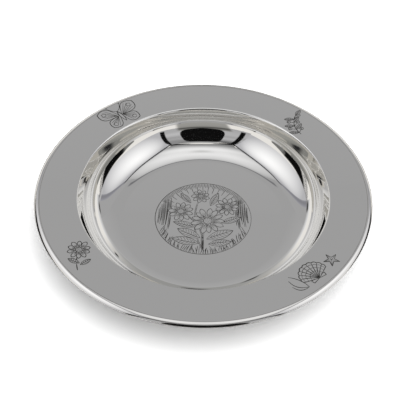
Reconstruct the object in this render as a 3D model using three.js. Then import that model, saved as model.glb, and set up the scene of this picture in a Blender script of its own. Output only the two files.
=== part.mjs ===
// Silver christening bowl: a round shallow dish spun from one disc of sheet, with a wide brim,
// and a drawn edge wire bent round the brim and soldered to it.
// Millimetres, +Z up. The origin is the centre of the flat base that the bowl stands on.
import * as THREE from 'three';

// Driving dimensions
const rimDiameter = 180; // over the edge wire
const sheetThickness = 1.0; // the same all over, as spinning leaves it
const mouthDiameter = 134.7; // where the top of the brim, drawn on inwards, meets the well
const brimRise = 1.2; // the brim's outer edge stands this much above its inner edge
const wellDepth = 22.33; // from the mouth down to the inside of the floor
const wallAngle = 75; // steepest slope of the wall, in degrees from level
const wallRadius = 22.23; // hollow curve between floor and wall, measured inside
const shoulderRadius = 1.2; // rounded turn from wall to brim, measured on top
const wireWidth = 2.65; // of the edge wire, outside the brim's cut edge
const wireHeight = 2.3; // of the edge wire, from the brim's top to the wire's foot
const domeRadius = 3.4; // the wire's rounded top, which leads on from the brim without a step
const noseRadius = 0.25; // rounded outermost edge of the wire
const noseTurn = 50; // the nose goes on until its normal points this far below level, in degrees
const ledgeWidth = 0.9; // the edge wire reaches this far under the brim
const solderGap = 0.05; // film of solder between brim and edge wire

// How finely the round forms are stepped
const turnSteps = 72; // facets round the bowl
const wallSteps = 10; // along the wall's hollow curve
const shoulderSteps = 5; // along the shoulder
const domeSteps = 9; // across the edge wire's rounded top
const noseSteps = 3; // round the edge wire's outermost edge
const bellySteps = 4; // along the edge wire's rounded underside

const polishedSilver = new THREE.MeshStandardMaterial({ color: 0xf0eeea, roughness: 0.06, metalness: 1 });
const wireSilver = new THREE.MeshStandardMaterial({ color: 0xf0eeea, roughness: 0.1, metalness: 1 });

const point = (radius, height) => new THREE.Vector2(radius, height);

// Points of a round stretch about a centre. Angles are in radians, from the +radius direction.
function arc(centre, radius, from, to, steps) {
  const angles = Array.from({ length: steps + 1 }, (_, i) => from + ((to - from) * i) / steps);
  return angles.map((a) => point(centre.x + radius * Math.cos(a), centre.y + radius * Math.sin(a)));
}

// A half section turned about the upright axis. It runs anticlockwise, so the faces point out.
function turned(name, halfSection, material) {
  const geometry = new THREE.LatheGeometry(halfSection, turnSteps);
  geometry.rotateX(Math.PI / 2);
  const mesh = new THREE.Mesh(geometry, material);
  mesh.name = name;
  return mesh;
}

// The brim: a shallow cone from the mouth to the cut edge that the wire goes round
const mouthRadius = mouthDiameter / 2;
const cutEdgeRadius = rimDiameter / 2 - wireWidth - solderGap;
const mouthHeight = sheetThickness + wellDepth;
const brimSlope = Math.atan(brimRise / (cutEdgeRadius - mouthRadius));
const brimTopAt = (radius) => mouthHeight + (radius - mouthRadius) * Math.tan(brimSlope);
const brimUnderAt = (radius) => brimTopAt(radius) - sheetThickness / Math.cos(brimSlope);

// The wall: a hollow curve out of the floor, a straight stretch, and the shoulder's rounded turn
const steepest = THREE.MathUtils.degToRad(wallAngle);
const shoulderSetback = shoulderRadius * Math.tan((steepest - brimSlope) / 2);
const shoulderCentre = point(
  mouthRadius + shoulderSetback * Math.cos(brimSlope) + shoulderRadius * Math.sin(brimSlope),
  mouthHeight + shoulderSetback * Math.sin(brimSlope) - shoulderRadius * Math.cos(brimSlope),
);
const wallTop = point(
  shoulderCentre.x - shoulderRadius * Math.sin(steepest),
  shoulderCentre.y + shoulderRadius * Math.cos(steepest),
);
const wallRise = wallTop.y - sheetThickness;
const hollowRadius = Math.min(wallRadius, wallRise / (1 - Math.cos(steepest)));
const straightRise = wallRise - hollowRadius * (1 - Math.cos(steepest));
const floorRadius = wallTop.x - straightRise / Math.tan(steepest) - hollowRadius * Math.sin(steepest);
const hollowCentre = point(floorRadius, sheetThickness + hollowRadius);

// Both skins of the wall turn about the same centres, one sheet thickness apart
function hollowCurve(radius) {
  return arc(hollowCentre, radius, -Math.PI / 2, -Math.PI / 2 + steepest, wallSteps);
}
function shoulderCurve(radius) {
  return arc(shoulderCentre, radius, Math.PI / 2 + steepest, Math.PI / 2 + brimSlope, shoulderSteps);
}

const tightestBend = 0.1;
const underShoulder = Math.max(shoulderRadius - sheetThickness, tightestBend);
const dish = turned('dish', [
  point(0, 0),
  ...hollowCurve(hollowRadius + sheetThickness),
  ...shoulderCurve(underShoulder),
  point(cutEdgeRadius, brimUnderAt(cutEdgeRadius)),
  point(cutEdgeRadius, brimTopAt(cutEdgeRadius)),
  ...shoulderCurve(shoulderRadius).reverse(),
  ...hollowCurve(hollowRadius).reverse(),
  point(0, sheetThickness),
], polishedSilver);

// The edge wire: rounded outside, with a rebate inside whose ledge carries the edge of the brim
const wireBack = cutEdgeRadius + solderGap;
const noseLow = -THREE.MathUtils.degToRad(noseTurn);
const domeCentre = point(
  wireBack + domeRadius * Math.sin(brimSlope),
  brimTopAt(wireBack) - domeRadius * Math.cos(brimSlope),
);
const domeLow = Math.acos((rimDiameter / 2 - noseRadius - domeCentre.x) / (domeRadius - noseRadius));
const noseCentre = point(
  rimDiameter / 2 - noseRadius,
  domeCentre.y + (domeRadius - noseRadius) * Math.sin(domeLow),
);

// The belly leads on from the nose and is level where it meets the foot
const wireFoot = brimTopAt(wireBack) - wireHeight;
const noseEndHeight = noseCentre.y + noseRadius * Math.sin(noseLow);
const bellyRadius = (noseEndHeight - wireFoot) / (1 + Math.sin(noseLow));
const bellyCentre = point(
  noseCentre.x + (noseRadius - bellyRadius) * Math.cos(noseLow),
  wireFoot + bellyRadius,
);
const ledgeEdge = wireBack - ledgeWidth;
const ledgeAt = (radius) => brimUnderAt(radius) - solderGap;
const rimWire = turned('rim_wire', [
  point(ledgeEdge, wireFoot),
  ...arc(bellyCentre, bellyRadius, -Math.PI / 2, noseLow, bellySteps),
  ...arc(noseCentre, noseRadius, noseLow, domeLow, noseSteps).slice(1),
  ...arc(domeCentre, domeRadius, domeLow, Math.PI / 2 + brimSlope, domeSteps).slice(1),
  point(wireBack, ledgeAt(wireBack)),
  point(ledgeEdge, ledgeAt(ledgeEdge)),
  point(ledgeEdge, wireFoot),
], wireSilver);

const christeningBowl = new THREE.Group();
christeningBowl.add(dish, rimWire);

export default christeningBowl;
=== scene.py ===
import math
import random

import bpy
from mathutils import Matrix, Vector


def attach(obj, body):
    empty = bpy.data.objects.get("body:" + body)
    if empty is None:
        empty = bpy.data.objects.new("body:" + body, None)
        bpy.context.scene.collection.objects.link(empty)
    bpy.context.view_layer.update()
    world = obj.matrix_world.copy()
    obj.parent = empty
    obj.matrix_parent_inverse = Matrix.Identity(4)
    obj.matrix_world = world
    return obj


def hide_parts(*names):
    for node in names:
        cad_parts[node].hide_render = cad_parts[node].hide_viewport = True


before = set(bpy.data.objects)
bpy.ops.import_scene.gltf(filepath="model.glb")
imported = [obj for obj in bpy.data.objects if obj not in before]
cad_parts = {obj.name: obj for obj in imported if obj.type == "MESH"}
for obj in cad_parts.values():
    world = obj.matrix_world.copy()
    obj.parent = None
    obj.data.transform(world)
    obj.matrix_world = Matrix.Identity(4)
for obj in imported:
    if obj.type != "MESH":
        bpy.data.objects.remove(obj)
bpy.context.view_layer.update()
scene = bpy.context.scene
scene.view_settings.view_transform = "Standard"
print("frame loaded:", ", ".join(sorted(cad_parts)))

# camera, at the photograph's viewing angle

cameraView = dict(
    distance=0.4439,  # metres, from the middle of the brim's plane
    planeHeight=0.02453,  # of the brim's outer edge above the base
    elevation=45.23,
    roll=0.86,
    focal=828,  # in pixels of the 400 x 400 photograph
    middlePixel=(203.6, 187.7),  # where the middle of the brim's plane is seen
)


def makeCamera(view):
    rise = math.radians(view["elevation"])
    outward = Vector((0, -math.cos(rise), math.sin(rise)))
    lens = bpy.data.cameras.new("photoCamera")
    lens.sensor_width = 36
    lens.lens = view["focal"] / 400 * 36
    lens.shift_x = (200 - view["middlePixel"][0]) / 400
    lens.shift_y = (view["middlePixel"][1] - 200) / 400
    lens.clip_start = 0.01
    camera = bpy.data.objects.new("photoCamera", lens)
    scene.collection.objects.link(camera)
    camera.matrix_world = (
        Matrix.Translation(Vector((0, 0, view["planeHeight"])) + outward * view["distance"])
        @ outward.to_track_quat("Z", "Y").to_matrix().to_4x4()
        @ Matrix.Rotation(math.radians(view["roll"]), 4, "Z")
    )
    scene.camera = camera


makeCamera(cameraView)

# small helpers for node trees


def addNode(tree, kind, inputs=None, **settings):
    made = tree.nodes.new(kind)
    for name, value in settings.items():
        setattr(made, name, value)
    for socket, value in (inputs or {}).items():
        if isinstance(value, bpy.types.NodeSocket):
            tree.links.new(value, made.inputs[socket])
        else:
            made.inputs[socket].default_value = value
    return made


def maths(tree, operation, *values):
    return addNode(tree, "ShaderNodeMath", dict(enumerate(values)), operation=operation).outputs[0]


def ranged(tree, inputs):
    return addNode(tree, "ShaderNodeMapRange", inputs).outputs[0]


def blended(tree, share, colour, other):
    return addNode(tree, "ShaderNodeMix", {0: share, 6: colour, 7: other}, data_type="RGBA").outputs[2]


def newGroup(name, kind, given, returned):
    tree = bpy.data.node_groups.new(name, kind)
    for label, socketType in given:
        tree.interface.new_socket(label, in_out="INPUT", socket_type="NodeSocket" + socketType)
    for label, socketType in returned:
        tree.interface.new_socket(label, in_out="OUTPUT", socket_type="NodeSocket" + socketType)
    return tree, tree.nodes.new("NodeGroupInput").outputs, tree.nodes.new("NodeGroupOutput").inputs


# Runs a geometry tree on a mesh and keeps the result as a plain mesh object
def shapeByRule(name, base, tree, values):
    pattern = bpy.data.objects.new(name + "Pattern", base)
    scene.collection.objects.link(pattern)
    rule = pattern.modifiers.new("rule", "NODES")
    rule.node_group = tree
    for socket in tree.interface.items_tree:
        if socket.in_out == "INPUT" and socket.name in values:
            rule[socket.identifier] = values[socket.name]
    view = bpy.context.evaluated_depsgraph_get()
    mesh = bpy.data.meshes.new_from_object(
        pattern.evaluated_get(view), preserve_all_data_layers=True, depsgraph=view,
    )
    pattern.modifiers.remove(rule)
    bpy.data.objects.remove(pattern)
    mesh.name = name
    piece = bpy.data.objects.new(name, mesh)
    scene.collection.objects.link(piece)
    return piece


# finishes


def wipingMarksGroup():
    tree, given, returned = newGroup(
        "wiping marks", "ShaderNodeTree",
        [("Mark Size", "Float"), ("Clean Roughness", "Float"), ("Worn Roughness", "Float")],
        [("Roughness", "Float"), ("Height", "Float")],
    )
    place = tree.nodes.new("ShaderNodeTexCoord").outputs["Object"]
    scale = maths(tree, "DIVIDE", 1.0, given["Mark Size"])
    lines = []
    for turn, stretch in ((0.4, 0.05), (1.7, 0.04), (2.6, 0.06)):
        turned = addNode(
            tree, "ShaderNodeMapping",
            {"Vector": place, "Rotation": (0, 0, turn), "Scale": (1, stretch, 1)},
        )
        speck = addNode(
            tree, "ShaderNodeTexNoise",
            {"Vector": turned.outputs[0], "Scale": scale, "Detail": 3.0, "Roughness": 0.6},
        )
        lines.append(ranged(tree, {"Value": speck.outputs[0], "From Min": 0.62, "From Max": 0.75}))
    marks = maths(tree, "MAXIMUM", maths(tree, "MAXIMUM", lines[0], lines[1]), lines[2])
    haze = addNode(tree, "ShaderNodeTexNoise", {"Vector": place, "Scale": 38.0, "Detail": 4.0}).outputs[0]
    wear = maths(tree, "MULTIPLY", marks, haze)
    tree.links.new(
        ranged(
            tree,
            {
                "Value": wear, "From Max": 0.6, "To Min": given["Clean Roughness"],
                "To Max": given["Worn Roughness"],
            },
        ),
        returned["Roughness"],
    )
    tree.links.new(marks, returned["Height"])
    return tree


def jointTarnishGroup():
    tree, given, returned = newGroup(
        "joint tarnish", "ShaderNodeTree",
        [("Joint Radius", "Float"), ("Line Width", "Float"), ("Silver", "Color"), ("Tarnish", "Color")],
        [("Color", "Color")],
    )
    place = tree.nodes.new("ShaderNodeTexCoord").outputs["Object"]
    across = addNode(
        tree, "ShaderNodeVectorMath", {0: place, 1: (1, 1, 0)}, operation="MULTIPLY",
    ).outputs[0]
    radius = addNode(tree, "ShaderNodeVectorMath", {0: across}, operation="LENGTH").outputs["Value"]
    away = maths(tree, "ABSOLUTE", maths(tree, "SUBTRACT", radius, given["Joint Radius"]))
    line = ranged(
        tree,
        {"Value": away, "From Min": 0.0, "From Max": given["Line Width"], "To Min": 1.0, "To Max": 0.0},
    )
    patchy = addNode(tree, "ShaderNodeTexNoise", {"Vector": place, "Scale": 90.0, "Detail": 2.0}).outputs[0]
    mask = maths(
        tree, "MULTIPLY", line,
        ranged(tree, {"Value": patchy, "From Min": 0.3, "From Max": 0.7, "To Min": 0.5, "To Max": 1.0}),
    )
    tree.links.new(blended(tree, mask, given["Silver"], given["Tarnish"]), returned["Color"])
    return tree


wipingMarks = wipingMarksGroup()
jointTarnish = jointTarnishGroup()


def silverMaterial(name, look):
    material = bpy.data.materials.new(name)
    material.use_nodes = True
    tree = material.node_tree
    shader = tree.nodes["Principled BSDF"]
    shader.inputs["Metallic"].default_value = 1.0
    marks = addNode(tree, "ShaderNodeGroup", node_tree=wipingMarks)
    for label in ("Mark Size", "Clean Roughness", "Worn Roughness"):
        marks.inputs[label].default_value = look[label]
    tarnish = addNode(tree, "ShaderNodeGroup", node_tree=jointTarnish)
    for label in ("Joint Radius", "Line Width", "Silver", "Tarnish"):
        tarnish.inputs[label].default_value = look[label]
    bump = addNode(
        tree, "ShaderNodeBump",
        {"Height": marks.outputs["Height"], "Strength": look["bumpStrength"], "Distance": 0.00001},
    )
    tree.links.new(tarnish.outputs["Color"], shader.inputs["Base Color"])
    tree.links.new(marks.outputs["Roughness"], shader.inputs["Roughness"])
    tree.links.new(bump.outputs["Normal"], shader.inputs["Normal"])
    return material


dishLook = {
    "Mark Size": 0.0007, "Clean Roughness": 0.025, "Worn Roughness": 0.065, "bumpStrength": 0.05,
    "Joint Radius": 0.0873, "Line Width": 0.00025,
    "Silver": (0.95, 0.945, 0.93, 1), "Tarnish": (0.62, 0.60, 0.57, 1),
}
wireLook = {
    "Mark Size": 0.0005, "Clean Roughness": 0.035, "Worn Roughness": 0.12, "bumpStrength": 0.05,
    "Joint Radius": 0.08735, "Line Width": 0.00018,
    "Silver": (0.94, 0.93, 0.91, 1), "Tarnish": (0.62, 0.60, 0.57, 1),
}
dishSilver = silverMaterial("dishSilver", dishLook)
wireSilver = silverMaterial("wireSilver", wireLook)
print("finishes made")

# dish and rim wire: half sections, turned about the upright axis by one rule


def turnedBodyTree():
    tree, given, returned = newGroup(
        "turned body", "GeometryNodeTree",
        [
            ("Half Section", "Geometry"), ("Turn Steps", "Int"), ("Weld Distance", "Float"),
            ("Crease Angle", "Float"), ("Finish", "Material"),
        ],
        [("Body", "Geometry")],
    )
    count = addNode(
        tree, "GeometryNodeAttributeDomainSize", {"Geometry": given["Half Section"]},
    ).outputs["Point Count"]
    sheet = addNode(
        tree, "GeometryNodeMeshGrid",
        {"Vertices X": maths(tree, "ADD", given["Turn Steps"], 1), "Vertices Y": count},
    )
    index = tree.nodes.new("GeometryNodeInputIndex").outputs[0]
    turn = maths(tree, "FLOOR", maths(tree, "DIVIDE", index, count))
    along = maths(tree, "MODULO", index, count)
    spot = addNode(
        tree, "GeometryNodeSampleIndex",
        {
            "Geometry": given["Half Section"],
            "Value": tree.nodes.new("GeometryNodeInputPosition").outputs[0], "Index": along,
        },
        data_type="FLOAT_VECTOR", domain="POINT",
    )
    angle = maths(tree, "MULTIPLY", maths(tree, "DIVIDE", turn, given["Turn Steps"]), 2 * math.pi)
    turned = addNode(
        tree, "ShaderNodeVectorRotate", {"Vector": spot.outputs[0], "Angle": angle}, rotation_type="Z_AXIS",
    )
    shaped = addNode(
        tree, "GeometryNodeSetPosition", {"Geometry": sheet.outputs["Mesh"], "Position": turned.outputs[0]},
    )
    welded = addNode(
        tree, "GeometryNodeMergeByDistance",
        {"Geometry": shaped.outputs[0], "Distance": given["Weld Distance"]},
    )
    smooth = addNode(
        tree, "GeometryNodeSetShadeSmooth", {"Geometry": welded.outputs[0], "Shade Smooth": True},
        domain="FACE",
    )
    sharp = maths(
        tree, "GREATER_THAN", tree.nodes.new("GeometryNodeInputMeshEdgeAngle").outputs[0],
        given["Crease Angle"],
    )
    creased = addNode(
        tree, "GeometryNodeSetShadeSmooth",
        {"Geometry": smooth.outputs[0], "Selection": sharp, "Shade Smooth": False}, domain="EDGE",
    )
    real = addNode(tree, "GeometryNodeRealizeInstances", {"Geometry": creased.outputs[0]})
    finished = addNode(
        tree, "GeometryNodeSetMaterial", {"Geometry": real.outputs[0], "Material": given["Finish"]},
    )
    tree.links.new(finished.outputs[0], returned["Body"])
    return tree


def sectionMesh(name, points):
    mesh = bpy.data.meshes.new(name)
    mesh.from_pydata(
        [(r * 0.001, 0, z * 0.001) for r, z in points], [(i, i + 1) for i in range(len(points) - 1)], [],
    )
    return mesh


# Millimetres; the same driving sizes as the solids
dishSizes = dict(
    rimDiameter=180, sheet=1.0, mouthDiameter=134.7, brimRise=1.2, wellDepth=22.33, wallAngle=75,
    wallRadius=22.23, shoulderRadius=1.2, wireWidth=2.65, solderGap=0.05,
    turnSteps=480, hollowSteps=56, shoulderSteps=18,
)
wireSizes = dict(
    height=2.3, domeRadius=3.4, noseRadius=0.25, noseTurn=50, ledge=0.9,
    domeSteps=20, noseSteps=8, bellySteps=8, turnSteps=480,
)


def arcPoints(centre, radius, start, end, steps):
    return [
        (
            centre[0] + radius * math.cos(start + (end - start) * i / steps),
            centre[1] + radius * math.sin(start + (end - start) * i / steps),
        )
        for i in range(steps + 1)
    ]


def dishShape(s):
    mouth = s["mouthDiameter"] / 2
    cutEdge = s["rimDiameter"] / 2 - s["wireWidth"] - s["solderGap"]
    mouthHeight = s["sheet"] + s["wellDepth"]
    slope = math.atan(s["brimRise"] / (cutEdge - mouth))
    steep = math.radians(s["wallAngle"])
    setback = s["shoulderRadius"] * math.tan((steep - slope) / 2)
    shoulder = (
        mouth + setback * math.cos(slope) + s["shoulderRadius"] * math.sin(slope),
        mouthHeight + setback * math.sin(slope) - s["shoulderRadius"] * math.cos(slope),
    )
    wallTop = (
        shoulder[0] - s["shoulderRadius"] * math.sin(steep),
        shoulder[1] + s["shoulderRadius"] * math.cos(steep),
    )
    rise = wallTop[1] - s["sheet"]
    hollow = min(s["wallRadius"], rise / (1 - math.cos(steep)))
    straight = rise - hollow * (1 - math.cos(steep))
    floorRadius = wallTop[0] - straight / math.tan(steep) - hollow * math.sin(steep)
    return dict(
        mouth=mouth, cutEdge=cutEdge, mouthHeight=mouthHeight, slope=slope, steep=steep, shoulder=shoulder,
        hollow=hollow, hollowCentre=(floorRadius, s["sheet"] + hollow), floorRadius=floorRadius,
    )


dish = dishShape(dishSizes)


def brimTop(radius):
    return dish["mouthHeight"] + (radius - dish["mouth"]) * math.tan(dish["slope"])


def brimUnder(radius):
    return brimTop(radius) - dishSizes["sheet"] / math.cos(dish["slope"])


def dishSection(s, d):
    down = -math.pi / 2
    hollowUnder = arcPoints(
        d["hollowCentre"], d["hollow"] + s["sheet"], down, down + d["steep"], s["hollowSteps"],
    )
    hollowTop = arcPoints(d["hollowCentre"], d["hollow"], down, down + d["steep"], s["hollowSteps"])
    up = math.pi / 2
    shoulderUnder = arcPoints(
        d["shoulder"], max(s["shoulderRadius"] - s["sheet"], 0.1), up + d["steep"], up + d["slope"],
        s["shoulderSteps"],
    )
    shoulderTop = arcPoints(
        d["shoulder"], s["shoulderRadius"], up + d["steep"], up + d["slope"], s["shoulderSteps"],
    )
    edge, keep = d["cutEdge"], 0.25  # keep: support points that hold the flats flat
    floor = d["floorRadius"]
    return [
        (0, 0), (floor - keep, 0), *hollowUnder, *shoulderUnder,
        (shoulderUnder[-1][0] + keep, brimUnder(shoulderUnder[-1][0] + keep)),
        (
            edge - keep, brimUnder(edge - keep),
        ), (edge, brimUnder(edge)), (edge, brimTop(edge)), (edge - keep, brimTop(edge - keep)),
        (shoulderTop[-1][0] + keep, brimTop(shoulderTop[-1][0] + keep)),
        *reversed(shoulderTop), *reversed(hollowTop), (floor - keep, s["sheet"]), (0, s["sheet"]),
    ]


def wireSection(w, s, d):
    back = d["cutEdge"] + s["solderGap"]
    foot = brimTop(back) - w["height"]
    dome = (
        back + w["domeRadius"] * math.sin(d["slope"]),
        brimTop(back) - w["domeRadius"] * math.cos(d["slope"]),
    )
    reach = w["domeRadius"] - w["noseRadius"]
    domeLow = math.acos((s["rimDiameter"] / 2 - w["noseRadius"] - dome[0]) / reach)
    nose = (s["rimDiameter"] / 2 - w["noseRadius"], dome[1] + reach * math.sin(domeLow))
    noseLow = -math.radians(w["noseTurn"])
    belly = (nose[1] + w["noseRadius"] * math.sin(noseLow) - foot) / (1 + math.sin(noseLow))
    bellyCentre = (nose[0] + (w["noseRadius"] - belly) * math.cos(noseLow), foot + belly)
    inner = back - w["ledge"]
    return [
        (inner, foot), *arcPoints(bellyCentre, belly, -math.pi / 2, noseLow, w["bellySteps"]),
        *arcPoints(nose, w["noseRadius"], noseLow, domeLow, w["noseSteps"])[1:],
        *arcPoints(dome, w["domeRadius"], domeLow, math.pi / 2 + d["slope"], w["domeSteps"])[1:],
        (back, brimUnder(back) - s["solderGap"]), (inner, brimUnder(inner) - s["solderGap"]), (inner, foot),
    ]


turnedBody = turnedBodyTree()


def turnedPiece(name, points, steps, finish):
    values = {
        "Turn Steps": steps, "Weld Distance": 0.000002, "Crease Angle": math.radians(25), "Finish": finish,
    }
    piece = shapeByRule(name, sectionMesh(name + "Section", points), turnedBody, values)
    print(name, "turned:", len(piece.data.polygons), "faces")
    return piece


silverDish = turnedPiece("silver_dish", dishSection(dishSizes, dish), dishSizes["turnSteps"], dishSilver)
edgeWire = turnedPiece(
    "edge_wire", wireSection(wireSizes, dishSizes, dish), wireSizes["turnSteps"], wireSilver,
)

# Engraving: line drawings let into the silver as fine dark strokes

# Millimetres and degrees; a motif's angle goes round from the front towards the right
engraving = dict(
    roundelRadius=26.7, lineWidth=0.33, borderWidth=0.38, motifWidth=0.38, lift=0.015, pointStep=0.4,
    seed=11,
    # angle round from the front, distance from the middle, tilt to the left and size
    brimPlaces=dict(
        butterfly=(-140.5, 77.4, 38, 1.24), berrySprig=(134.7, 77.0, 28, 1.05),
        daisy=(-52.3, 77.8, 12, 1.12), shell=(43.5, 77.6, 42, 0.96),
    ),
)
hand = random.Random(engraving["seed"])


def evenSteps(points, step):
    made = [points[0]]
    for (xa, ya), (xb, yb) in zip(points, points[1:]):
        count = max(1, math.ceil(math.hypot(xb - xa, yb - ya) / step))
        made += [(xa + (xb - xa) * i / count, ya + (yb - ya) * i / count) for i in range(1, count + 1)]
    return made


def isInside(point, shape):
    outline, (left, right, low, high) = shape
    x, y = point
    if not (left < x < right and low < y < high):
        return False
    inside = False
    for (xa, ya), (xb, yb) in zip(outline, outline[-1:] + outline[:-1]):
        if (ya > y) != (yb > y) and x < (xb - xa) * (y - ya) / (yb - ya) + xa:
            inside = not inside
    return inside


# Keeps only the runs of a line that no shape drawn earlier covers
def drawLine(drawing, points, width):
    run = []
    for point in [*evenSteps(points, engraving["pointStep"]), None]:
        if point and not any(isInside(point, shape) for shape in drawing["shapes"]):
            run.append(point)
        else:
            if len(run) > 1:
                drawing["strokes"].append((run, width))
            run = []


def drawShape(drawing, outline, width):
    drawLine(drawing, outline + outline[:1], width)
    across, along = zip(*outline)
    drawing["shapes"].append((outline, (min(across), max(across), min(along), max(along))))


def pointAt(centre, reach, degrees):
    return (
        centre[0] + reach * math.cos(math.radians(degrees)),
        centre[1] + reach * math.sin(math.radians(degrees)),
    )


def bowed(start, end, bow, steps=10):
    dx, dy = end[0] - start[0], end[1] - start[1]
    swell = [4 * bow * (i / steps) * (1 - i / steps) for i in range(steps + 1)]
    return [
        (start[0] + dx * i / steps - dy * s, start[1] + dy * i / steps + dx * s)
        for i, s in enumerate(swell)
    ]


def ringOf(centre, radius, steps=24):
    return [pointAt(centre, radius, 360 * i / steps) for i in range(steps)]


def petal(base, tip, fat, steps=12):
    dx, dy = tip[0] - base[0], tip[1] - base[1]
    sides = []
    for side in (1, -1):
        for i in range(steps + 1):
            t = i / steps if side > 0 else 1 - i / steps
            bulge = side * fat * math.sin(math.pi * t ** 1.5) ** 0.75
            sides.append((base[0] + dx * t - dy * bulge, base[1] + dy * t + dx * bulge))
    return sides[:-1]


def drawLeaf(drawing, base, tip, fat, veins, width):
    drawShape(drawing, bowed(base, tip, fat) + bowed(base, tip, -fat)[-2:0:-1], width)
    under = dict(strokes=drawing["strokes"], shapes=drawing["shapes"][:-1])
    drawLine(under, bowed(base, tip, 0.02), width)
    dx, dy = tip[0] - base[0], tip[1] - base[1]
    for i in range(veins):
        t = 0.15 + 0.7 * i / veins
        out = 3.3 * fat * t * (1 - t)
        for side in (1, -1):
            root = (base[0] + dx * t, base[1] + dy * t)
            end = (root[0] + dx * 0.12 - side * dy * out, root[1] + dy * 0.12 + side * dx * out)
            drawLine(under, bowed(root, end, side * 0.1, 4), width * 0.7)


def drawFlower(drawing, centre, heart, reach, petals, turn, width):
    drawShape(drawing, ringOf(centre, heart, 20), width)
    seeds = dict(strokes=drawing["strokes"], shapes=drawing["shapes"][:-1])
    for ring, count in ((0.3, 4), (0.68, 9)):
        for i in range(count):
            seed = pointAt(centre, heart * ring, 360 * i / count + 17)
            drawLine(seeds, [seed, (seed[0] + 0.35, seed[1] + 0.2)], width)
    for i in range(petals):
        angle = turn + 360 * i / petals + hand.uniform(-3, 3)
        base, tip = pointAt(centre, heart * 0.9, angle), pointAt(
            centre, reach * hand.uniform(0.92, 1.04), angle,
        )
        drawShape(drawing, petal(base, tip, 0.21 * 12 / petals), width)
        inner = dict(strokes=drawing["strokes"], shapes=drawing["shapes"][:-1])
        for side in (-5, 6):
            start, end = pointAt(centre, heart * 1.1, angle + side), pointAt(
                centre, reach * hand.uniform(0.55, 0.75), angle + side * 0.7,
            )
            drawLine(inner, [start, end], width * 0.6)


def drawRoundel():
    drawing = dict(strokes=[], shapes=[])
    radius, width = engraving["roundelRadius"], engraving["lineWidth"]
    root = (0, -24)
    flowers = (
        ((2.5, -2.5), 2.3, 9.4, 13, 0), ((-12.5, 4.5), 1.8, 7.2, 11, 14),
        ((13.5, 8.5), 1.7, 6.6, 11, 5), ((-1.5, 16.5), 1.4, 5.2, 9, 20),
    )
    for centre, heart, reach, petals, turn in flowers:
        drawFlower(drawing, centre, heart, reach, petals, turn, width)
    leaves = (
        ((-1.5, -15), (-14, -8.5), 0.2), ((2, -16), (16.5, -9.5), 0.19), ((-2, -19), (-17, -15.5), 0.17),
        ((3, -19.5), (15.5, -17.5), 0.18), ((-3.5, -7), (-16.5, -3.5), 0.15), ((10, -4), (21, 0.5), 0.17),
        ((4, 9), (8.5, 19), 0.18), ((-7, 11), (-13, 18.5), 0.18),
    )
    for base, tip, fat in leaves:
        drawLeaf(drawing, base, tip, fat, 6, width)
    for (centre, *others), bow in zip(flowers, (0.05, -0.14, 0.16, 0.1)):
        for offset in (-0.28, 0.28):
            drawLine(
                drawing, bowed((root[0] + offset, root[1]), (centre[0] + offset, centre[1]), bow, 16),
                width * 0.8,
            )
    # blades of grass along the lower edge
    for i in range(70):
        angle = 205 + 130 * (i + hand.random()) / 70
        base = pointAt((0, 0), radius - 0.3, angle)
        tip = (base[0] * 0.93 + hand.uniform(-1.6, 1.6), base[1] + hand.uniform(2.5, 5.5))
        drawLine(drawing, bowed(base, tip, hand.uniform(-0.12, 0.12), 6), width * hand.uniform(0.7, 1.2))
    # reeds at both sides, hatched dark
    for side in (-1, 1):
        for i in range(13):
            x = side * (18.6 + 0.55 * i + hand.uniform(-0.15, 0.15))
            top = math.sqrt(max(radius ** 2 - x * x, 1)) - 0.5
            low = -top * hand.uniform(0.1, 0.6)
            drawLine(
                drawing,
                bowed((x, low), (x - side * 0.6, min(top, 15) * hand.uniform(0.8, 1)), side * 0.02, 8),
                width * 1.05,
            )
    # rays of light from the upper edge
    for i in range(64):
        angle = 28 + 124 * i / 63
        start = pointAt((0, 0), radius - 0.2, angle)
        end = pointAt((0, 0), radius - hand.uniform(2.5, 4) - (4 if i % 4 == 0 else 0), angle)
        drawLine(drawing, [start, end], width * 0.95)
    drawing["strokes"].append((ringOf((0, 0), radius, 120) + [(radius, 0)], engraving["borderWidth"]))
    return drawing


def drawButterfly():
    drawing = dict(strokes=[], shapes=[])
    width = engraving["motifWidth"]
    drawShape(
        drawing, bowed((0.4, -4.6), (-0.2, 3.2), 0.1) + bowed((0.4, -4.6), (-0.2, 3.2), -0.1)[-2:0:-1],
        width * 1.5,
    )
    for side in (-1, 1):
        drawLine(drawing, bowed((0, 3), (side * 3.4, 7.2), side * -0.12, 6), width)
        drawShape(drawing, ringOf((side * 3.5, 7.4), 0.3, 8), width)
        for tip, fat, spots in (((side * 9.6, 5.8), 0.34, 3), ((side * 7.2, -5.6), 0.36, 2)):
            drawShape(drawing, ringOf((tip[0] * 0.72, tip[1] * 0.72), 1.0, 12), width)
            drawShape(drawing, petal((side * 0.5, 0), tip, fat), width * 1.3)
            inner = dict(strokes=drawing["strokes"], shapes=drawing["shapes"][:-1])
            for i in range(-2, 3):
                turned = math.atan2(tip[1], tip[0]) + i * 0.16
                reach = math.hypot(*tip) * (0.86 - 0.05 * abs(i))
                drawLine(
                    inner, [(side * 1.2, 0.1 * i), (reach * math.cos(turned), reach * math.sin(turned))],
                    width * 0.75,
                )
    return drawing


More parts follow.
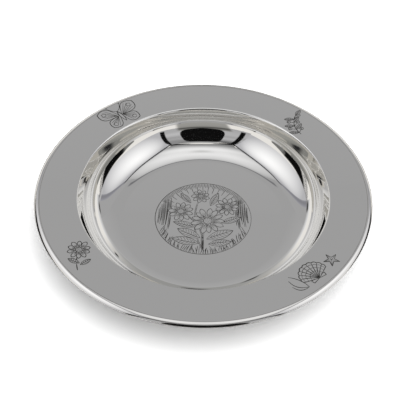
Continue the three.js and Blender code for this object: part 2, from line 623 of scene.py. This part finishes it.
def drawBerrySprig():
    drawing = dict(strokes=[], shapes=[])
    width = engraving["motifWidth"]
    stem = bowed((-3, -7.6), (3.2, 7.4), 0.16, 12)
    for i, side in ((2, 1), (4, -1), (6, 1), (8, -1), (10, 1)):
        x, y = stem[i]
        berry = (x + side * 2.9, y + 0.6)
        drawShape(drawing, ringOf(berry, 0.95, 12), width * 1.3)
        drawing["strokes"].append(
            ([(berry[0] - 0.4, berry[1] - 0.3), (berry[0] + 0.4, berry[1] + 0.4)], width * 1.6)
        )
        drawLine(drawing, [stem[i - 1], berry], width)
    for i, side in ((1, -1), (3, 1), (5, -1), (7, 1), (9, -1), (11, 1)):
        x, y = stem[i]
        drawLeaf(drawing, (x, y), (x + side * 4.8, y + 2.6), 0.2, 4, width)
    drawLine(drawing, stem, width * 1.6)
    return drawing


def drawDaisy():
    drawing = dict(strokes=[], shapes=[])
    width = engraving["motifWidth"]
    drawFlower(drawing, (0.5, 3), 1.5, 5.4, 10, 8, width * 1.15)
    drawLeaf(drawing, (0, -5), (-4.8, -1.6), 0.2, 4, width)
    drawLeaf(drawing, (0.2, -6), (5, -3.4), 0.2, 4, width)
    drawLine(drawing, bowed((-1.2, -9), (0.5, 3), 0.06, 12), width * 1.5)
    return drawing


def drawShell():
    drawing = dict(strokes=[], shapes=[])
    width, foot = engraving["motifWidth"], (0, -5.6)
    ribs, spread = 9, 68
    edge = [
        pointAt(
            foot,
            (11.2 - 0.0006 * a * a) * (
                1 + 0.05 * abs(math.sin(math.pi * ribs * (a + spread) / (2 * spread)))
            ),
            90 - a,
        )
        for a in (-spread + 2 * spread * i / 90 for i in range(91))
    ]
    for i in range(1, ribs):
        a = -spread + 2 * spread * i / ribs
        drawLine(
            drawing, bowed(foot, pointAt(foot, 11.2 - 0.0006 * a * a, 90 - a), a * 0.0009, 8), width * 1.1,
        )
    for share in (0.45, 0.66, 0.85):
        drawLine(drawing, [(x * share, foot[1] + (y - foot[1]) * share) for x, y in edge], width * 0.7)
    drawLine(drawing, [foot, *edge, foot], width * 1.4)
    for side in (-1, 1):
        drawLine(
            drawing, [(side * 0.6, -5.6), (side * 4.2, -6.2), (side * 4.6, -4.4), (side * 2.4, -4.2)],
            width * 1.1,
        )
    # a star beside it
    star = (13.6, -1.2)
    arms = [pointAt(star, 4.4 if i % 2 == 0 else 1.6, 12 + 36 * i) for i in range(10)]
    drawShape(drawing, arms, width * 1.2)
    for i in range(5):
        drawing["strokes"].append(([star, pointAt(star, 3.2, 12 + 72 * i)], width))
    # weed on its other side
    for bend, tip in ((0.2, (-13.2, 3.5)), (-0.1, (-11.5, 5.5)), (0.25, (-14.5, -0.5))):
        drawLine(drawing, bowed((-8, -6), tip, bend, 8), width * 1.1)
    return drawing


# One chain of points for each stroke, thin at both ends
def strokesMesh(name, drawings):
    points, chains, widths = [], [], []
    for drawing, place in drawings:
        for run, width in drawing["strokes"]:
            for i, spot in enumerate(run):
                if i:
                    chains.append((len(points) - 1, len(points)))
                points.append([value * 0.001 for value in place(spot)])
                widths.append(0.001 * width * (0.55 + 0.45 * math.sin(math.pi * i / (len(run) - 1))))
    mesh = bpy.data.meshes.new(name)
    mesh.from_pydata(points, chains, [])
    mesh.attributes.new("strokeWidth", "FLOAT", "POINT").data.foreach_set("value", widths)
    return mesh


def engravedLinesTree():
    tree, given, returned = newGroup(
        "engraved lines", "GeometryNodeTree",
        [("Strokes", "Geometry"), ("Finish", "Material")], [("Lines", "Geometry")],
    )
    width = addNode(
        tree, "GeometryNodeInputNamedAttribute", {"Name": "strokeWidth"}, data_type="FLOAT",
    ).outputs[0]
    curve = addNode(tree, "GeometryNodeMeshToCurve", {"Mesh": given["Strokes"]})
    upright = addNode(tree, "GeometryNodeSetCurveNormal", {"Curve": curve.outputs[0]}, mode="Z_UP")
    # a groove's section: three corners, flat on top, its top edge on the stroke's own line
    corners = addNode(tree, "GeometryNodeCurvePrimitiveCircle", {"Resolution": 3, "Radius": 0.577})
    section = addNode(
        tree, "GeometryNodeTransform",
        {"Geometry": corners.outputs[0], "Translation": (0, 0.289, 0), "Rotation": (0, 0, math.pi / 2)},
    )
    swept = addNode(
        tree, "GeometryNodeCurveToMesh",
        {
            "Curve": upright.outputs[0], "Profile Curve": section.outputs[0], "Scale": width,
            "Fill Caps": True,
        },
    )
    real = addNode(tree, "GeometryNodeRealizeInstances", {"Geometry": swept.outputs[0]})
    finished = addNode(
        tree, "GeometryNodeSetMaterial", {"Geometry": real.outputs[0], "Material": given["Finish"]},
    )
    tree.links.new(finished.outputs[0], returned["Lines"])
    return tree


def grooveToneGroup():
    tree, given, returned = newGroup(
        "groove tone", "ShaderNodeTree",
        [("Patch Size", "Float"), ("Deep", "Color"), ("Bright", "Color")],
        [("Color", "Color"), ("Roughness", "Float")],
    )
    place = tree.nodes.new("ShaderNodeTexCoord").outputs["Object"]
    scale = maths(tree, "DIVIDE", 1.0, given["Patch Size"])
    patch = addNode(tree, "ShaderNodeTexNoise", {"Vector": place, "Scale": scale, "Detail": 2.0}).outputs[0]
    cut = ranged(tree, {"Value": patch, "From Min": 0.4, "From Max": 0.7})
    tree.links.new(blended(tree, cut, given["Deep"], given["Bright"]), returned["Color"])
    tree.links.new(ranged(tree, {"Value": cut, "To Min": 0.5, "To Max": 0.3}), returned["Roughness"])
    return tree


grooveTone = grooveToneGroup()


def grooveMaterial():
    material = bpy.data.materials.new("engravedLines")
    material.use_nodes = True
    tree = material.node_tree
    shader = tree.nodes["Principled BSDF"]
    shader.inputs["Metallic"].default_value = 0.8
    tone = addNode(
        tree, "ShaderNodeGroup", {
            "Patch Size": 0.004, "Deep": (0.05, 0.048, 0.045, 1), "Bright": (0.16, 0.155, 0.15, 1),
        },
        node_tree=grooveTone,
    )
    tree.links.new(tone.outputs["Color"], shader.inputs["Base Color"])
    tree.links.new(tone.outputs["Roughness"], shader.inputs["Roughness"])
    return material


def onFloor(spot):
    return spot[0], spot[1], dishSizes["sheet"] + engraving["lift"]


def onBrim(angle, reach, tilt, size):
    centre = Vector((reach * math.sin(math.radians(angle)), -reach * math.cos(math.radians(angle))))

    def place(spot):
        moved = centre + Matrix.Rotation(math.radians(tilt), 2) @ Vector(spot) * size
        return moved.x, moved.y, brimTop(moved.length) + engraving["lift"]

    return place


engravedLines = engravedLinesTree()
grooves = grooveMaterial()


def engravedPiece(name, drawings):
    piece = shapeByRule(name, strokesMesh(name + "Strokes", drawings), engravedLines, {"Finish": grooves})
    print(name, "cut:", len(piece.data.polygons), "faces")
    return piece


places = engraving["brimPlaces"]
floorEngraving = engravedPiece("floor_engraving", [(drawRoundel(), onFloor)])
brimEngraving = engravedPiece("brim_engraving", [
    (drawButterfly(), onBrim(*places["butterfly"])), (drawBerrySprig(), onBrim(*places["berrySprig"])),
    (drawDaisy(), onBrim(*places["daisy"])), (drawShell(), onBrim(*places["shell"])),
])

# floor, with the bowl's shadow

floorLook = dict(
    halfSize=6.0, level=-0.0002,  # metres
    # as the silver mirrors it, as other surfaces are lit by it, and as the camera sees it
    mirrored=(0.82, 0.81, 0.79, 1), bounced=(0.06, 0.06, 0.06, 1), shown=(3.15, 3.15, 3.15, 1),
)


def makeFloor(look):
    size, level = look["halfSize"], look["level"]
    mesh = bpy.data.meshes.new("studioFloor")
    mesh.from_pydata(
        [(-size, -size, level), (size, -size, level), (size, size, level), (-size, size, level)], [],
        [(0, 1, 2, 3)],
    )
    floor = bpy.data.objects.new("studioFloor", mesh)
    scene.collection.objects.link(floor)
    material = bpy.data.materials.new("paleFloor")
    material.use_nodes = True
    tree = material.node_tree
    tree.nodes.clear()
    light = tree.nodes.new("ShaderNodeLightPath").outputs
    again = maths(tree, "GREATER_THAN", light["Diffuse Depth"], 0.5)
    unseen = blended(tree, again, look["mirrored"], look["bounced"])
    shown = blended(tree, light["Is Camera Ray"], unseen, look["shown"])
    cover = addNode(tree, "ShaderNodeBsdfDiffuse", {"Color": shown})
    tree.links.new(cover.outputs[0], tree.nodes.new("ShaderNodeOutputMaterial").inputs["Surface"])
    mesh.materials.append(material)


makeFloor(floorLook)

# Light tent: what the silver mirrors. Only mirrored rays see it.

tent = dict(
    left=-0.262, right=0.298, top=0.74, front=-0.26, back=0.45, gridSteps=28,
    grey=(0.365, 0.365, 0.37), low=(0.83, 0.81, 0.78), black=(0.004, 0.004, 0.004),
)
flat = [(0, 1), (1, 1)]


# A card is four corners, in metres, first up its own u and then across its own v. Its tone falls
# towards the edges if it has an edge tone, and follows the levels along u and v. Soft is the share
# of u and v over which it fades out. Rays that come off the silver a second time see it darker by
# deep, or in its deep tone. First and later say how much of it either kind of ray sees, and a later
# of -1 keeps it for the third time and after.
def cardOf(corners, tone, **look):
    card = dict(
        corners=corners, tone=tone, edge=tone, at=(0.5, 0.5), reach=(0.7, 0.7), power=2.0,
        up=flat, across=flat, soft=(0, 0), deep=1.0, deepTone=None, bow=None, swell=1, first=1, later=1,
    )
    card.update(look)
    return card


def onSide(side, spots, tone, inside=0, **look):
    x = tent[side] - math.copysign(0.001, tent[side]) * inside
    return cardOf([(x, y, z) for y, z in spots], tone, **look)


def onFront(spots, tone, inside=0, **look):
    return cardOf([(x, tent["front"] + 0.001 * inside, z) for x, z in spots], tone, **look)


def overTent(spots, tone, lower=0, **look):
    return cardOf([(x, y, tent["top"] - 0.001 * lower) for x, y in spots], tone, **look)


def greyShell(t):
    back, grey = t["back"], t["grey"]
    nearer = back - 0.004
    return [
        # back wall, which leans away, and ceiling
        cardOf(
            [(-0.60, back, 0.19), (-0.60, 0.563, 0.60), (0.64, 0.563, 0.60), (0.64, back, 0.19)], grey,
            up=[(0, 2.1), (0.07, 1.7), (0.18, 1.06), (1, 0.97)],
        ),
        cardOf(
            [(-1.6, -0.45, 1.6), (-1.6, 2.4, 1.6), (1.7, 2.4, 1.6), (1.7, -0.45, 1.6)],
            [0.96 * value for value in grey],
        ),
        # dark line over the top panel's back edge
        cardOf(
            [(-0.30, 0.80, 1.3), (-0.30, 0.88, 1.3), (0.34, 0.88, 1.3), (0.34, 0.80, 1.3)],
            (0.17, 0.17, 0.18), bow=[(0, 0.075), (1, 0.075)], soft=(0.3, 0.1),
        ),
        # low things at the back
        cardOf(
            [(-0.19, nearer, -0.02), (-0.19, nearer, 0.25), (0.22, nearer, 0.25), (0.22, nearer, -0.02)],
            (0.30, 0.30, 0.295), soft=(0.12, 0.45),
        ),
        *(
            cardOf(
                [
                    (x - 0.012, nearer - 0.002, z - 0.035), (x - 0.012, nearer - 0.002, z + 0.035),
                    (x + 0.012, nearer - 0.002, z + 0.035), (x + 0.012, nearer - 0.002, z - 0.035),
                ],
                (0.05, 0.05, 0.05), soft=(0.4, 0.4),
            )
            for x, z in ((-0.035, 0.205), (0.005, 0.155), (0.12, 0.12))
        ),
    ]


def topPanel(t):
    return [
        overTent(
            [(-0.244, -0.255), (-0.244, 0.415), (0.28, 0.415), (0.28, -0.255)], (1, 1, 1.01), swell=3,
            deep=0.68, bow=[(0, 0.05), (0.25, 0.01), (0.6, 0), (0.8, 0.04), (1, 0.105)],
            up=[
                (0, 0.22), (0.08, 0.25), (0.14, 0.37), (0.2, 0.5), (0.26, 0.65), (0.32, 0.79), (0.38, 0.86),
                (0.44, 0.83), (0.5, 0.79), (0.56, 0.8), (0.68, 0.83), (0.74, 0.81), (0.8, 0.75),
                (0.86, 0.7), (0.92, 0.64), (0.98, 0.52), (1, 0.45),
            ],
            across=[(0, 0.8), (0.1, 0.88), (0.3, 1), (0.7, 1), (0.85, 0.94), (1, 0.8)],
        ),
        overTent(
            [(-0.06, 0.02), (-0.06, 0.20), (0.08, 0.20), (0.08, 0.02)], (0.60, 0.60, 0.60), lower=2,
            soft=(0.5, 0.5), deep=0.6,
        ),
        # between its front edge and the opening
        onFront(
            [(-0.14, 0.59), (-0.14, 0.78), (0.22, 0.78), (0.22, 0.59)], (1, 1, 1), inside=-3,
            soft=(0.05, 0.2), deepTone=(0.43, 0.41, 0.385),
            up=[(0, 0.08), (0.25, 0.2), (0.5, 0.38), (0.7, 0.5), (1, 0.42)],
        ),
        onFront(
            [(-0.250, 0.56), (-0.240, 0.70), (-0.100, 0.755), (-0.115, 0.70)], t["black"], inside=1,
            soft=(0.2, 0.1), deepTone=(0.3, 0.3, 0.29),
        ),
        overTent(
            [(-0.262, -0.31), (-0.262, -0.256), (-0.06, -0.226), (-0.06, -0.242)], t["black"], lower=4,
            soft=(0.15, 0.1), later=0,
        ),
        overTent(
            [(0.10, -0.224), (0.10, -0.210), (0.305, -0.226), (0.305, -0.300)], t["black"], lower=4,
            soft=(0.15, 0.1), later=0,
        ),
    ]


def opening(t):
    room = (0.45, 0.435, 0.405)
    posts = (
        [(0.208, 0.118), (0.266, 0.70), (0.320, 0.70), (0.248, 0.118)],
        [(-0.226, 0.122), (-0.247, 0.62), (-0.193, 0.62), (-0.186, 0.122)],
    )
    deepPosts = (
        [(0.205, 0.118), (0.228, 0.37), (0.262, 0.37), (0.240, 0.118)],
        [(-0.226, 0.122), (-0.236, 0.37), (-0.170, 0.37), (-0.180, 0.122)],
    )
    besidePosts = (
        [(0.262, 0.16), (0.275, 0.36), (0.36, 0.36), (0.36, 0.16)],
        [(-0.35, 0.16), (-0.35, 0.36), (-0.235, 0.36), (-0.23, 0.16)],
    )
    return [
        onFront(
            [(0.09, 0.11), (0.09, 0.74), (0.31, 0.74), (0.25, 0.11)], (1, 1, 1.02), inside=-10,
            deepTone=room,
            up=[
                (0, 0.40), (0.12, 0.42), (0.20, 0.52), (0.27, 0.47), (0.36, 0.34), (0.48, 0.38),
                (0.62, 0.27), (0.85, 0.26), (1, 0.28),
            ],
        ),
        onFront(
            [(-0.27, 0.11), (-0.27, 0.66), (-0.08, 0.66), (-0.08, 0.11)], (1, 1, 1.02), inside=-10,
            deepTone=room,
            up=[
                (0, 0.38), (0.15, 0.44), (0.27, 0.46), (0.38, 0.36), (0.52, 0.46), (0.67, 0.33),
                (0.78, 0.18), (0.9, 0.12), (1, 0.05),
            ],
        ),
        # grey things on the table before it
        onFront(
            [(-0.10, -0.01), (-0.155, 0.175), (0.145, 0.175), (0.145, -0.01)], (0.33, 0.325, 0.31),
            inside=-6, soft=(0, 0.09), deepTone=room,
            up=[(0, 1.05), (0.5, 0.95), (0.66, 0.8), (0.72, 0.25), (0.80, 0.3), (1, 1)],
        ),
        *(onFront(spots, t["black"], soft=(0.03, 0.16), later=0) for spots in posts),
        *(
            onFront(spots, (0.015, 0.015, 0.018), inside=7, soft=(0.3, 0.16), first=0, later=-1)
            for spots in deepPosts
        ),
        # middle of the dark shape, and what is light beside the posts
        onFront(
            [(-0.06, 0.235), (-0.06, 0.325), (0.10, 0.325), (0.10, 0.235)], (0.02, 0.02, 0.022), inside=5,
            soft=(0.4, 0.4), first=0, later=-1,
        ),
        *(onFront(spots, (0.62, 0.60, 0.57), inside=3, soft=(0.2, 0.2), first=0) for spots in besidePosts),
    ]


def sidePanels(side):
    wedge, cornerLine = dict(
        right=(
            [(-0.06, 0.02), (-0.05, 0.110), (0.225, 0.170), (0.09, 0.045)],
            [(0.27, 0.135), (0.27, 0.165), (0.42, 0.25), (0.42, 0.22)],
        ),
        left=(
            [(-0.045, 0.02), (-0.04, 0.106), (0.19, 0.157), (0.06, 0.040)],
            [(0.225, 0.112), (0.225, 0.148), (0.335, 0.205), (0.335, 0.165)],
        ),
    )[side]
    heart = dict(right=(0.205, 0.114), left=(0.155, 0.100))[side]
    lowerEnd = onSide(
        side, [(0.19, 0.148), (0.19, 0.20), (0.31, 0.190), (0.29, 0.156)], (0.50, 0.50, 0.51), inside=2,
        soft=(0.3, 0.25),
    )
    return [
        onSide(side, [(0.20, 0.14), (0.34, 0.95), (0.66, 0.95), (0.47, 0.25)], tent["grey"], inside=-14),
        onSide(
            side, [(-0.36, 0.128), (-0.33, 0.71), (0.375, 0.72), (0.235, 0.14)], (1.05, 1.05, 1.06),
            edge=(0.47, 0.47, 0.49), at=(0.45, 0.566), reach=(0.57, 0.478), power=1.6, deep=0.78,
        ),
        onSide(
            side, [(0.235, 0.14), (0.375, 0.72), (0.425, 0.73), (0.285, 0.155)], (0.25, 0.25, 0.275),
            inside=1, across=[(0, 1.2), (0.3, 0.9), (0.6, 1), (1, 1.35)],
        ),
        # corner of posts and seams
        onSide(
            side, [(-0.30, 0.67), (-0.30, 0.77), (-0.235, 0.77), (-0.235, 0.70)], tent["black"], inside=5,
            later=0,
        ),
        # seam between side and top
        onSide(
            side, [(-0.25, 0.69), (-0.25, 0.745), (0.42, 0.755), (0.42, 0.70)], (0.05, 0.05, 0.055),
            inside=2,
        ),
        # its lower end, lighter on the right
        *([lowerEnd] if side == "right" else []),
        # dark things low beside the tent
        onSide(
            side, [(-0.12, 0.0), (-0.115, 0.065), (-0.02, 0.115), (-0.02, 0.0)], (0.17, 0.17, 0.165),
            inside=3, later=0, soft=(0.1, 0.1),
        ),
        onSide(
            side, [(-0.03, 0.0), (-0.03, 0.112), (0.28, 0.175), (0.10, 0.035)], (0.28, 0.275, 0.27),
            inside=3, later=0, soft=(0.04, 0.03),
        ),
        onSide(side, wedge, tent["black"], inside=4, later=0, soft=(0.12, 0.12)),
        onSide(side, cornerLine, (0.05, 0.05, 0.05), inside=4, later=0, soft=(0.3, 0.4)),
        # the same things seen from nearer the brim
        onSide(
            side, [(-0.01, 0.0), (0.01, 0.27), (0.24, 0.22), (0.24, 0.0)], (0.35, 0.34, 0.32), inside=3,
            first=0, soft=(0.05, 0.1),
        ),
        onSide(
            side, [(-0.006, 0.085), (-0.006, 0.30), (0.014, 0.30), (0.014, 0.085)], (0.01, 0.01, 0.012),
            inside=5, first=0,
            bow=[(0, 0.09), (0.08, 0.04), (0.2, 0.008), (0.3, 0), (0.6, 0.012), (1, 0.035)], swell=0,
            soft=(0.05, 0.3),
        ),
        onSide(
            side,
            [
                (heart[0] + y, heart[1] + z)
                for y, z in ((-0.022, -0.012), (-0.022, 0.012), (0.022, 0.012), (0.022, -0.012))
            ],
            (0.01, 0.01, 0.012), inside=5, first=0, soft=(0.3, 0.3),
        ),
    ]


# Level at a place, of a list of places and levels
def levelAt(levels, place):
    for (start, before), (end, after) in zip(levels, levels[1:]):
        if place <= end:
            return before + (after - before) * (place - start) / (end - start)
    return levels[-1][1]


def fading(place, margin):
    share = min(1, min(place, 1 - place) / margin) if margin else 1
    return share * share * (3 - 2 * share)


def gridOf(card, steps):
    a, b, c, d = (Vector(corner) for corner in card["corners"])
    spots, tones, deeps = [], [], []
    for i in range(steps + 1):
        for j in range(steps + 1):
            u, v = i / steps, j / steps
            spot = a.lerp(b, u).lerp(d.lerp(c, u), v)
            if card["bow"]:
                spot.y += levelAt(card["bow"], u) * (1 - (2 * v - 1) ** 2) ** card["swell"]
            spots.append(spot)
            far = math.hypot((u - card["at"][0]) / card["reach"][0], (v - card["at"][1]) / card["reach"][1])
            share = min(far, 1) ** card["power"]
            level = levelAt(card["up"], u) * levelAt(card["across"], v)
            tone = [level * (m + (e - m) * share) for m, e in zip(card["tone"], card["edge"])]
            cover = fading(u, card["soft"][0]) * fading(v, card["soft"][1])
            again = card["deepTone"] or [card["deep"] * value for value in tone]
            tones.append([*tone, cover * card["first"]])
            deeps.append([*again, cover * card["later"]])
    return spots, tones, deeps


darkShape = dict(
    middle=(0.011, 0.371), halfWidth=0.119, halfHeight=0.233, widening=0.003, squareness=5, rounding=0.3,
    rows=28, inside=0.002, shade=0.24, upperShade=0.32, shadeFrom=0.33, shadeTo=0.43,
)


# The dark shape in the opening, in rows from its foot up; second mirrorings see it lighter
def darkRows(t, look):
    spots, tones, deeps = [], [], []
    for i in range(look["rows"] + 1):
        high = -1 + 2 * i / look["rows"]
        rounded = (1 - abs(high) ** look["squareness"]) ** look["rounding"]
        half = (look["halfWidth"] + look["widening"] * high) * rounded
        z = look["middle"][1] + look["halfHeight"] * high
        share = min(1, max(0, (z - look["shadeFrom"]) / (look["shadeTo"] - look["shadeFrom"])))
        shade = look["shade"] + (look["upperShade"] - look["shade"]) * share
        for side in (-1, 1):
            spots.append(Vector((look["middle"][0] + side * half, t["front"] + look["inside"], z)))
            tones.append([*t["black"], 1])
            deeps.append([shade, shade, shade * 0.97, 1])
    return spots, tones, deeps


def makeTent(t):
    points, faces, tones, deeps = [], [], [], []
    steps = t["gridSteps"]
    for card in greyShell(t) + topPanel(t) + opening(t) + sidePanels("left") + sidePanels("right"):
        first = len(points)
        for kept, made in zip((points, tones, deeps), gridOf(card, steps)):
            kept += made
        for k in (first + i * (steps + 1) + j for i in range(steps) for j in range(steps)):
            faces.append((k, k + 1, k + steps + 2, k + steps + 1))
    first = len(points)
    for kept, made in zip((points, tones, deeps), darkRows(t, darkShape)):
        kept += made
    faces += [(k, k + 1, k + 3, k + 2) for k in range(first, len(points) - 2, 2)]
    mesh = bpy.data.meshes.new("lightTent")
    mesh.from_pydata(points, [], faces)
    for name, colours in (("tone", tones), ("deepTone", deeps)):
        layer = mesh.color_attributes.new(name, "FLOAT_COLOR", "POINT")
        layer.data.foreach_set("color", [value for colour in colours for value in colour])
    shell = bpy.data.objects.new("lightTent", mesh)
    scene.collection.objects.link(shell)
    material = bpy.data.materials.new("tentCards")
    material.use_nodes = True
    tree = material.node_tree
    tree.nodes.clear()
    light = tree.nodes.new("ShaderNodeLightPath").outputs
    once, again = (
        addNode(tree, "ShaderNodeAttribute", attribute_name=name).outputs
        for name in ("tone", "deepTone")
    )
    later = maths(tree, "GREATER_THAN", light["Glossy Depth"], 1.5)
    glow = addNode(
        tree, "ShaderNodeEmission", {"Color": blended(tree, later, once["Color"], again["Color"])},
    )
    clear = tree.nodes.new("ShaderNodeBsdfTransparent").outputs[0]
    third = maths(tree, "GREATER_THAN", light["Glossy Depth"], 2.5)
    onlyThen = maths(tree, "MULTIPLY", third, maths(tree, "MULTIPLY", again["Alpha"], -1.0))
    deepCover = maths(tree, "MAXIMUM", again["Alpha"], onlyThen)
    shows = addNode(tree, "ShaderNodeMix", {0: later, 2: once["Alpha"], 3: deepCover}).outputs[0]
    cover = maths(tree, "MULTIPLY", light["Is Glossy Ray"], shows)
    seen = addNode(tree, "ShaderNodeMixShader", {0: cover, 1: clear, 2: glow.outputs[0]})
    tree.links.new(seen.outputs[0], tree.nodes.new("ShaderNodeOutputMaterial").inputs["Surface"])
    material.cycles.emission_sampling = "NONE"
    mesh.materials.append(material)
    shell.visible_camera = shell.visible_diffuse = shell.visible_shadow = False


makeTent(tent)

sky = dict(brightest=(0.20, -0.28, 0.939), edge=(0.55, 0.85), faintest=0.03)


# White to the camera; to the floor brightest overhead, a little to the front and the right, fading
# out between the edge values; to the silver the pale surroundings of the tent
def makeWorld(look):
    world = bpy.data.worlds.new("studio")
    scene.world = world
    world.use_nodes = True
    tree = world.node_tree
    tree.nodes.clear()
    light = tree.nodes.new("ShaderNodeLightPath").outputs
    heading = tree.nodes.new("ShaderNodeTexCoord").outputs["Generated"]
    nearness = addNode(
        tree, "ShaderNodeVectorMath", {0: heading, 1: look["brightest"]}, operation="DOT_PRODUCT",
    ).outputs["Value"]
    overhead = ranged(tree, {
        "Value": nearness, "From Min": look["edge"][0], "From Max": look["edge"][1],
        "To Min": look["faintest"],
    })
    unseen = blended(tree, light["Is Glossy Ray"], overhead, (*tent["low"], 1))
    shown = blended(tree, light["Is Camera Ray"], unseen, (1, 1, 1, 1))
    glow = addNode(tree, "ShaderNodeBackground", {"Color": shown})
    tree.links.new(glow.outputs[0], tree.nodes.new("ShaderNodeOutputWorld").inputs["Surface"])


makeWorld(sky)
print("studio made")

# onto the frame

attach(silverDish, "root")
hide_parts("dish")
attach(edgeWire, "root")
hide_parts("rim_wire")
for engraved in (floorEngraving, brimEngraving):
    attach(engraved, "root")
